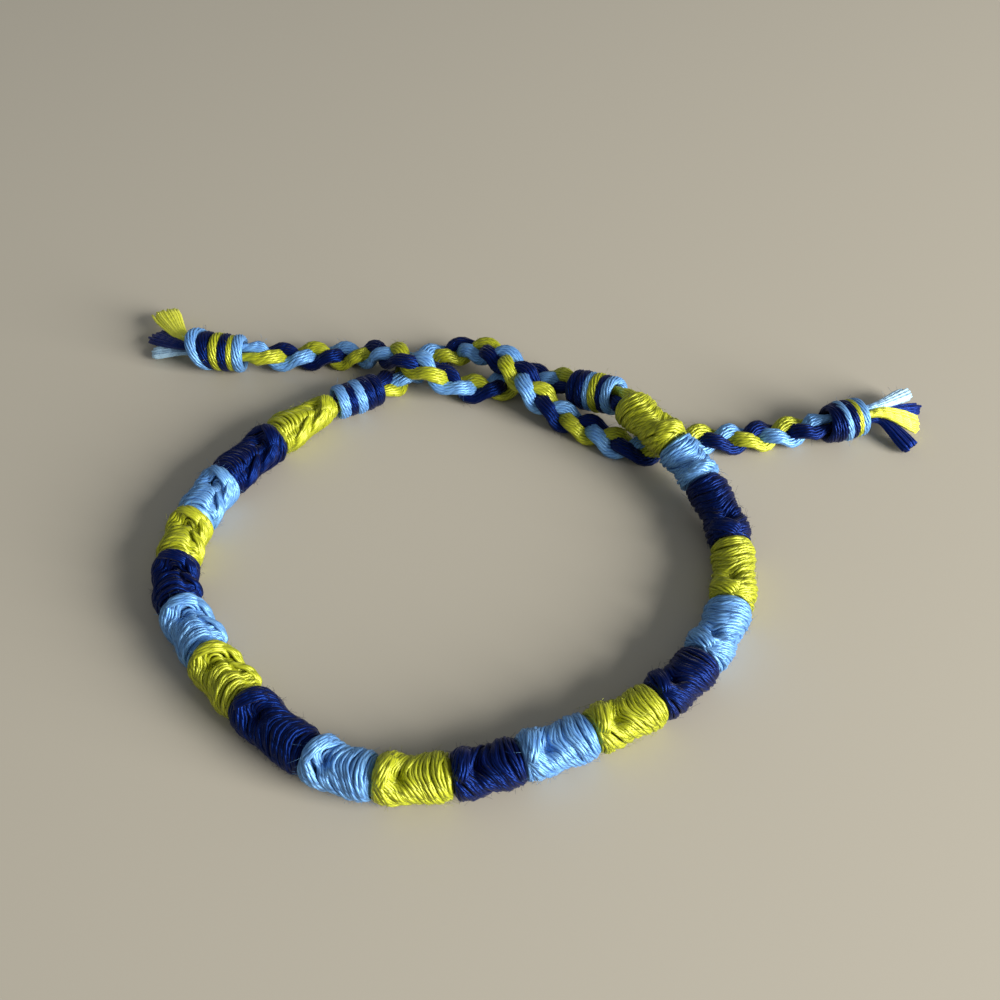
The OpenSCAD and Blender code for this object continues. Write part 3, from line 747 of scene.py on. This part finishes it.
# where a crossing starts and how far it reaches, as shares of the block's length, its height, its turns from
# the spine at the start and at the end, and how wide its bundle is in degrees and in mm
ARCHES = [
    dict(first=0.02, reach=0.25, height=0.48, turn_in=46, turn_out=-52, wide_turn=26, wide_x=1.2),
    dict(first=0.12, reach=0.5, height=0.4, turn_in=-26, turn_out=-78, wide_turn=34, wide_x=-0.6),
    dict(first=0.48, reach=0.48, height=0.36, turn_in=-32, turn_out=-82, wide_turn=34, wide_x=-0.6),
]


def hitch_arch(rng, start, run, spine, first, reach, height, turn_in, turn_out, wide_turn, wide_x):
    """One crossing: it comes up on the outer side, arches over the spine as a half sine and runs on down the
    inner side, slanting forward, until it dives under the next one. v runs from 0 to 1 along it, across from
    -0.4 to 0.4 over its threads, and the bundle is widest halfway."""
    v = np.linspace(0, 1, ARCH_PLACES)[None, :]
    across = ((np.arange(ARCH_THREADS) - (ARCH_THREADS - 1) / 2) / ARCH_THREADS)[:, None]
    width = np.sin(np.pi * (ARCH_TUCK + (1 - 2 * ARCH_TUCK) * v))
    turn = turn_in + (turn_out - turn_in) * v + wide_turn * across * width
    x = run * (first + reach * v ** ARCH_EASE) + wide_x * across * (1 - ARCH_NARROW * v)
    x = x + wander(rng, (ARCH_THREADS, v.size), 300 * v, ARCH_WANDER)
    arch = height * np.sin(np.pi * v) * (1 - ARCH_CROWN * across ** 2)
    lift = arch - ROOT_DIVE * (1 - smooth(v / ROOT_OVER)) - TIP_DIVE * smooth((v - TIP_FROM) / TIP_OVER)
    x = np.clip(x, ARCH_FROM, run - ARCH_TO)
    taper = np.interp(start + x, *LEFT_TAPER.T)
    swell = np.minimum(np.interp(x / run, SWELL[:, 0], SWELL[:, 1]), MOST_SWELL)
    radius = BAND_THICK / 2 * swell + lift - ARCH_SINK + wander(rng, x.shape, 360 * v, ARCH_RISE)
    paths, out = on_band(start, x, spine - turn, radius * taper)
    return threads(paths, ARCH_RADIUS, out)


print("threads in the crossings of a block that shows its inner side:", ARCH_THREADS * len(ARCHES))

# %% Hitch the band
INNER_SHOWS = 7           # blocks, from the left knot on, whose inner side shows
LOOSE_SHARE = 0.3         # strands that lie over the others, as a share of their number
LOOSE = dict(above=0.02, stray=0.2, crease=0.0)     # a little higher, straying further and sunk nowhere

start = 0
total = 0
for number, (colour, length, spine) in enumerate(STRETCHES, 1):
    run = length * LENGTH_SCALE - STRETCH_GAP
    node = f"hitch_{number:02d}"
    rng = np.random.default_rng(number)
    begin = start + STRETCH_GAP / 2
    count = round(run / STRAND_PITCH)
    seam, arches = (SEAM_DEPTH, ARCHES) if number <= INNER_SHOWS else (0, ARCHES[:1])
    bundles = [*hitch_rings(rng, begin, run, spine, count, seam), hitch_core(begin, run)]
    bundles += hitch_rings(rng, begin, run, spine, round(count * LOOSE_SHARE), seam, **LOOSE)
    bundles += [hitch_arch(rng, begin, run, spine, **arch) for arch in arches]
    total += make_piece("floss_" + node, bundles, colour, node)
    start += length * LENGTH_SCALE
print("band triangles:", total)

# %% [markdown]
# ## The ties: their plan
#
# Each tie is a flat plait of three floss bundles. In a flat plait every strand swings from edge to edge once
# in a pitch and rises and falls twice, a third of a pitch behind its neighbour, which is what carries it
# over one and under the next. Inside a knot the three close up and run straight.

# %% Plan of the ties
LEFT_TIE = smooth_line(np.array([
    [-23, 17.1, 2.35], [-21.9, 17.7, 2.3], [-20.5, 18.5, 2.25], [-18.8, 19.7, 2.2], [-16.7, 21.8, 1.55],
    [-14.6, 24.5, 1.3], [-12.1, 27, 1.25], [-9.3, 28, 1.5], [-6.5, 27.4, 2.6], [-3.6, 25.2, 3.7],
    [-1.4, 22.5, 3.95], [0.4, 20, 3.5], [2.6, 18, 2.4], [5.3, 16.4, 1.4], [8.5, 14.6, 1.25],
    [11.4, 12.6, 1.25], [14.2, 11.9, 1.25], [17.2, 12.9, 1.25], [20.5, 13.9, 1.25], [24.3, 14.1, 1.25],
    [28.5, 14.9, 1.25], [31.6, 15.5, 1.4], [34.4, 15.7, 2.1], [37.1, 16.2, 2.55], [39.1, 16.9, 2.6],
    [41.2, 17.7, 2.6],
]) - MIDDLE)
RIGHT_TIE = smooth_line(np.array([
    [12.1, 15.8, 4.75], [11.5, 17, 4.5], [10.7, 18, 4.1], [9.5, 18.8, 3.7], [8, 19.6, 3.3], [6.5, 20.4, 3],
    [5, 21.6, 2.6], [3.3, 23, 2], [1.2, 23.9, 1.4], [-1.4, 23.1, 1.25], [-4.4, 21.8, 1.25],
    [-7.4, 21.5, 1.5], [-9.9, 21.6, 2.6], [-12.1, 22.1, 3.75], [-14.1, 23, 4.05], [-16.3, 24.5, 3.7],
    [-18.6, 26.1, 2.6], [-21.8, 27, 1.35], [-26, 27, 1.25], [-29, 26.5, 1.3], [-31.6, 25.9, 1.8],
    [-34, 25.5, 2.5], [-36.5, 25.4, 2.6], [-39, 25.7, 2.6], [-41.6, 26.2, 2.6],
]) - MIDDLE)
# neck: bare length between the band and its knot; start: where that knot ends and the plait begins;
# end_knot: length of the knot at the other end; turns: where yellow, navy and sky stand in the plait's turn
# inside the first knot, in degrees
TIES = {
    "left": {"line": LEFT_TIE, "neck": 0, "start": 5.6, "end_knot": 5.5, "turns": (90, 210, 330)},
    "right": {"line": RIGHT_TIE, "neck": 2.4, "start": 8.4, "end_knot": 6.6, "turns": (30, 270, 150)},
}
print("tie lengths in mm:", {name: round(float(tie["line"][1][-1]), 1) for name, tie in TIES.items()})

# %% The way of a plait
CORE_THICK, WRAP_CLEAR = 1.1, 0.1                         # a bundle inside a knot, and the room round it
CORE_OFFSET = (CORE_THICK + WRAP_CLEAR) / np.sqrt(3)      # from the tie's middle to a bundle's, in a knot
PLAIT_WIDTH, PLAIT_THICK = 3.8, 2.5
PLAIT_PITCH = 11                                          # run in which a strand comes back to the same edge
BUNDLE_WIDTH, BUNDLE_THICK = 1.4, 0.95                    # a CAD bundle
FLAT = 0.1                                                # share of the third harmonic in a swing
PLAIT_SIDE = (PLAIT_WIDTH - BUNDLE_WIDTH) / 2 / (1 - FLAT)
PLAIT_RISE = (PLAIT_THICK - BUNDLE_THICK) / 2 / (1 - FLAT)
SIDE_SHARE, RISE_SHARE = 0.78, 0.74                       # share of the CAD's swing: these bundles are fuller
SPREAD = 1.6                                              # length over which the plait opens out of a knot


def swing(angle):
    """A sine with a tenth of its third harmonic, which flattens the ends of the swing."""
    return np.sin(angle * DEGREE) + FLAT * np.sin(3 * angle * DEGREE)


def bundle_line(tie, turn, s):
    """Middle of a floss bundle, with the directions aside and up and the share of the plait's swing at each
    place: aside = swing of the angle, above = swing of twice the angle, and both close up in a knot."""
    length = tie["line"][1][-1]
    first, last = tie["start"] + SPREAD, length - tie["end_knot"] - SPREAD
    thirds = round(3 * (last - first) / PLAIT_PITCH)
    angle = turn + 120 * thirds * np.clip((s - first) / (last - first), 0, 1)
    share = np.maximum(smooth((tie["neck"] - s) / SPREAD), smooth((s - tie["start"]) / SPREAD))
    share = share * smooth((length - tie["end_knot"] - s) / SPREAD)
    place, ahead, side, up = stand(tie["line"], s)
    close = (1 - share) * CORE_OFFSET
    aside = close * np.sin(angle * DEGREE) + share * SIDE_SHARE * PLAIT_SIDE * swing(angle)
    above = close * np.sin(2 * angle * DEGREE) + share * RISE_SHARE * PLAIT_RISE * swing(2 * angle)
    return place + side * aside[:, None] + up * above[:, None], side, up, share


print("a bundle swings", round(SIDE_SHARE * PLAIT_SIDE * (1 - FLAT), 2), "mm to each side")

# %% [markdown]
# ## The ties: their floss
#
# The plain way would be three fat tubes, but floss is many strands. Each bundle is a flattened ring of
# threads, with a gentle twist, round a plain one in the middle. In the open plait a bundle is plumper than
# in the knots, because nothing presses it, and plumper than the CAD's, because thread gives way where two
# bundles meet.

# %% Plait the ties
TIE_STEP = 0.55           # distance between places along a bundle
TIE_FROM = 0.2            # how far into the tie its threads start
TIE_THREADS = 13
TIE_THREAD_RADIUS = 0.23
TIE_FIBRES = 160
LAY_MM = 45.0             # length of one turn of a bundle's threads
PLUMP_WIDTH, PLUMP_THICK = 2.2, 1.5     # a bundle in the open plait
FILL_SHARE = 0.8          # the middle thread's radius, as a share of half the bundle's thickness
LOCK_ROOT, LOCK_GAP = 1.6, 0.25         # run of the tassel's locks in the end knot, and the gap before it


def tie_bundle(tie, turn):
    """The threads of one bundle: they stand on an ellipse round its middle and go once round it in a lay."""
    s = np.arange(TIE_FROM, tie["line"][1][-1] - LOCK_ROOT - LOCK_GAP, TIE_STEP)
    middle, side, up, share = bundle_line(tie, turn, s)
    half_width = 0.5 * (CORE_THICK + (PLUMP_WIDTH - CORE_THICK) * share)[:, None]
    half_thick = 0.5 * (CORE_THICK + (PLUMP_THICK - CORE_THICK) * share)[:, None]
    steps = np.linalg.norm(np.diff(middle, axis=0), axis=1)
    turns = np.concatenate([[0], np.cumsum(steps)]) / LAY_MM
    a = 2 * np.pi * (np.arange(TIE_THREADS)[:, None] / TIE_THREADS + turns[None, :])
    offset = (
        (half_width - TIE_THREAD_RADIUS) * side * np.cos(a)[..., None]
        + (half_thick - TIE_THREAD_RADIUS) * up * np.sin(a)[..., None])
    outer = threads(middle + offset, TIE_THREAD_RADIUS, offset, sides=6)
    inner = threads(middle[None], FILL_SHARE * half_thick.T, up[None])
    fuzz = stray_fibres(np.random.default_rng(turn), middle + offset, offset, TIE_THREAD_RADIUS, TIE_FIBRES)
    return [outer, inner, fuzz]


total = 0
for tie_name, tie in TIES.items():
    for colour, turn in zip(("yellow", "navy", "sky"), tie["turns"]):
        node = f"{tie_name}_tie_{colour}"
        total += make_piece("floss_" + node, tie_bundle(tie, turn), colour, node)
print("tie triangles:", total)

# %% [markdown]
# ## The wrapped knots
#
# A knot here is thread wound round the three bundles. Each wrap is a closed loop on a cylinder round the
# tie, leaning a little because thread is wound on a slant. As with the ties, a wrap is several fine threads
# and not one fat ring. The wraps at the ends of the ties are drawn tighter and more slanted than the CAD's
# plain rings, and they stay on the same stretch of the tie.

# %% Plan of the wraps
# colour, distance along the tie, width, thickness, and lean along the tie, all in mm. An end knot's
# distances are counted back from the tassel's side.
WRAPS = {
    "left_band": [("sky", 0.75, 0.95, 0.85, 0), ("navy", 1.8, 0.85, 0.8, 0), ("sky", 2.85, 0.95, 0.9, 0),
                  ("navy", 3.95, 0.9, 0.9, 0), ("navy", 5.05, 0.8, 0.8, 0)],
    "right_band": [("sky", 3, 0.95, 1.1, 0.1), ("navy", 4, 0.6, 1.1, 0.1), ("yellow", 4.95, 0.9, 1.2, 0.1),
                   ("sky", 5.9, 0.6, 1.15, 0.1), ("navy", 6.75, 0.8, 1.2, 0.1),
                   ("navy", 7.75, 0.8, 1.05, 0.1)],
    "left_end": [("sky", 1.4, 0.9, 1.15, -0.1), ("yellow", 2.0, 0.55, 1.15, -0.2),
                 ("navy", 2.7, 0.85, 1.2, -0.25), ("sky", 3.4, 0.6, 1.3, -0.5), ("navy", 4.1, 0.9, 1.2, 0.2),
                 ("navy", 4.9, 0.85, 1.05, 0.4)],
    "right_end": [("sky", 0.9, 1, 1.3, 1.1), ("navy", 2.0, 1.05, 1.1, 0.7), ("yellow", 3.1, 0.9, 1.15, 0.2),
                  ("navy", 4.05, 0.85, 1.15, 0.1), ("yellow", 4.85, 0.6, 1.0, 0.05),
                  ("sky", 5.7, 0.9, 1.15, 0)],
}
print("wraps in each knot:", {knot: len(rows) for knot, rows in WRAPS.items()})

# %% Wind the knots
WRAP_PLACES = 36
WRAP_THREADS = 10
WRAP_THREAD_RADIUS = 0.18
WRAP_FIBRES = 14
WRAP_SPREAD = 0.27        # how far a wrap's threads spread to each side, until they press on the next wrap's
WRAP_FLATTEN = 0.06       # how much they flatten for it
WRAP_FILL = 0.1           # how much smaller than half the wrap the radius of its middle thread is


def wrap_bundle(tie, distance, width, thick, lean, rng):
    """Closed threads round a ring: reach is the ring's radius, and each thread stands on an ellipse of the
    wrap's width and thickness, making one turn round it on the way."""
    reach = CORE_OFFSET + CORE_THICK / 2 + WRAP_CLEAR + thick / 2
    place, ahead, side, up = (v[0] for v in stand(tie["line"], np.array([distance])))
    angle = np.linspace(0, 2 * np.pi, WRAP_PLACES, endpoint=False)
    out = side * np.cos(angle)[:, None] + up * np.sin(angle)[:, None]
    middle = place + ahead * lean * np.sin(angle)[:, None] + out * reach
    a = (2 * np.pi * np.arange(WRAP_THREADS) / WRAP_THREADS)[:, None] + angle[None, :]
    offset = (width / 2 + WRAP_SPREAD - WRAP_THREAD_RADIUS) * np.cos(a)[..., None] * ahead \
        + (thick / 2 - WRAP_FLATTEN - WRAP_THREAD_RADIUS) * np.sin(a)[..., None] * out
    outer = threads(middle + offset, WRAP_THREAD_RADIUS, offset, sides=6, closed=True)
    inner = threads(middle[None], min(width, thick) / 2 - WRAP_FILL, out[None], closed=True)
    fuzz = stray_fibres(rng, middle + offset, offset, WRAP_THREAD_RADIUS, WRAP_FIBRES)
    return [outer, inner, fuzz]


total = 0
for knot, rows in WRAPS.items():
    tie = TIES[knot.split("_")[0]]
    length = tie["line"][1][-1]
    for colour in sorted({row[0] for row in rows}):
        bundles, rng = [], np.random.default_rng(len(knot) + len(colour))
        for hue, distance, width, thick, lean in rows:
            if hue == colour:
                distance = length - distance if knot.endswith("end") else distance
                bundles += wrap_bundle(tie, distance, width, thick, lean, rng)
        node = f"{knot}_knot_{colour}"
        total += make_piece("floss_" + node, bundles, colour, node)
print("knot triangles:", total)

# %% [markdown]
# ## The tassels
#
# Past the end knot the floss is cut and springs open. Each lock starts as a tight bundle in the knot and
# spreads into a flat fan, so its strands are placed in an ellipse that grows from the root to the cut end.
# To fill an ellipse evenly, each strand takes the next seat of a sunflower: a golden angle further round,
# and further out.

# %% Plan of the locks
# colour, angle at which the lock leaves the knot, place of its tip and width there
LOCKS = {
    "left": [("sky", 135, (47.3, 22.6, 1.7), 1.7), ("navy", 225, (48.5, 20.9, 0.8), 1.4),
             ("yellow", 45, (47.5, 17.8, 1.2), 2.7), ("navy", 315, (46.2, 14.2, 0.8), 2.1)],
    "right": [("yellow", 20, (-47.1, 33.6, 1.9), 2.9), ("navy", 140, (-47.5, 29.5, 1.3), 2.3),
              ("sky", 260, (-47.2, 27, 0.8), 1.9)],
}
LOCK_LENGTH, LOCK_THICK = 6, 1.1
LOCK_OFFSET, LOCK_ROOT_THICK = 0.7, 0.8     # a lock's distance from the tie's middle, and its thickness
print("locks in each tassel:", {name: len(rows) for name, rows in LOCKS.items()})

# %% The way of a lock
def lock_line(tie, root_angle, mouth_angle, tip):
    """A smooth line from inside the knot, out of its mouth and to the tip. Its third point is a
    quarter of a lock's length ahead of the mouth, plus an eighth of the way from the mouth to the tip."""
    end = tie["line"][1][-1]
    place, ahead, side, up = (v[0] for v in stand(tie["line"], np.array([end])))

    def beside(angle):
        """As far out as a lock stands: side times the cosine of the angle and up times its sine."""
        return LOCK_OFFSET * (side * np.cos(angle * DEGREE) + up * np.sin(angle * DEGREE))

    root = place - ahead * LOCK_ROOT + beside(root_angle)
    mouth = place + beside(mouth_angle)
    tip = np.array(tip) - MIDDLE
    return smooth_line([root, mouth, mouth + ahead * LOCK_LENGTH / 4 + (tip - mouth) / 8, tip])


print("locks of", LOCK_LENGTH, "mm beyond the knots")

# %% Comb the tassels
LOCK_THREAD_RADIUS = 0.17
LOCK_PLACES = 16
LOCK_FIBRES = 40
STRANDS_A_MM = 28                       # strands in a lock for each mm of its width
FAN_WIDTH, FAN_THICK = 1.2, 1.3         # how far the strands spread past the lock's plain outline
FAN_FROM, FAN_OVER = 0.15, 0.7          # where the fan starts to open, and over what share of the lock
GOLDEN_ANGLE = 2.39996                  # in radians
UNEVEN_CUT, UNRULY = 0.02, 0.03         # spread of the strands' lengths, as a share, and of their tips, in mm


def lock_threads(tie, row, root_angle, rng):
    """Strands in an ellipse that opens from the root to the tip: place = middle + across * half width * side
    + above * half thickness * up, with across and above fixed for each strand."""
    mouth_angle, tip, width = row[1:]
    line = lock_line(tie, root_angle, mouth_angle, tip)
    u = np.linspace(0, 1, LOCK_PLACES)
    middle, ahead, side, up = stand(line, u * line[1][-1])
    share = np.clip((u - FAN_FROM) / FAN_OVER, 0, 1)[None, :, None]
    tip_width, tip_thick = FAN_WIDTH * width, FAN_THICK * LOCK_THICK
    half_width = 0.5 * (LOCK_ROOT_THICK + (tip_width - LOCK_ROOT_THICK) * share) - LOCK_THREAD_RADIUS
    half_thick = 0.5 * (LOCK_ROOT_THICK + (tip_thick - LOCK_ROOT_THICK) * share) - LOCK_THREAD_RADIUS
    count = int(STRANDS_A_MM * width)
    k = np.arange(count)
    spoke, ray = np.sqrt((k + 0.5) / count), k * GOLDEN_ANGLE + rng.uniform(0, 6)
    across = (spoke * np.cos(ray))[:, None, None] * half_width
    above = (spoke * np.sin(ray))[:, None, None] * half_thick
    paths = middle + across * side + above * up
    reach = 1 + rng.normal(0, UNEVEN_CUT, (count, 1, 1)) * share
    paths = paths[:, :1] + (paths - paths[:, :1]) * reach
    paths = paths + rng.normal(0, UNRULY, (count, 1, 3)) * share ** 2
    paths[..., 2] = np.maximum(paths[..., 2], LOCK_THREAD_RADIUS)
    out = np.broadcast_to(up, paths.shape)
    return [threads(paths, LOCK_THREAD_RADIUS, out, sides=6, first_v=CUT_V),
            stray_fibres(rng, paths, out, LOCK_THREAD_RADIUS, LOCK_FIBRES)]


total = 0
for tie_name, rows in LOCKS.items():
    for colour in ("yellow", "navy", "sky"):
        own = [row for row in rows if row[0] == colour]
        root_angle = sum(row[1] for row in own) / len(own)
        rng = np.random.default_rng(len(own) + 7)
        node = f"{tie_name}_tassel_{colour}"
        bundles = [part for row in own for part in lock_threads(TIES[tie_name], row, root_angle, rng)]
        total += make_piece("floss_" + node, bundles, colour, node)
print("tassel triangles:", total)
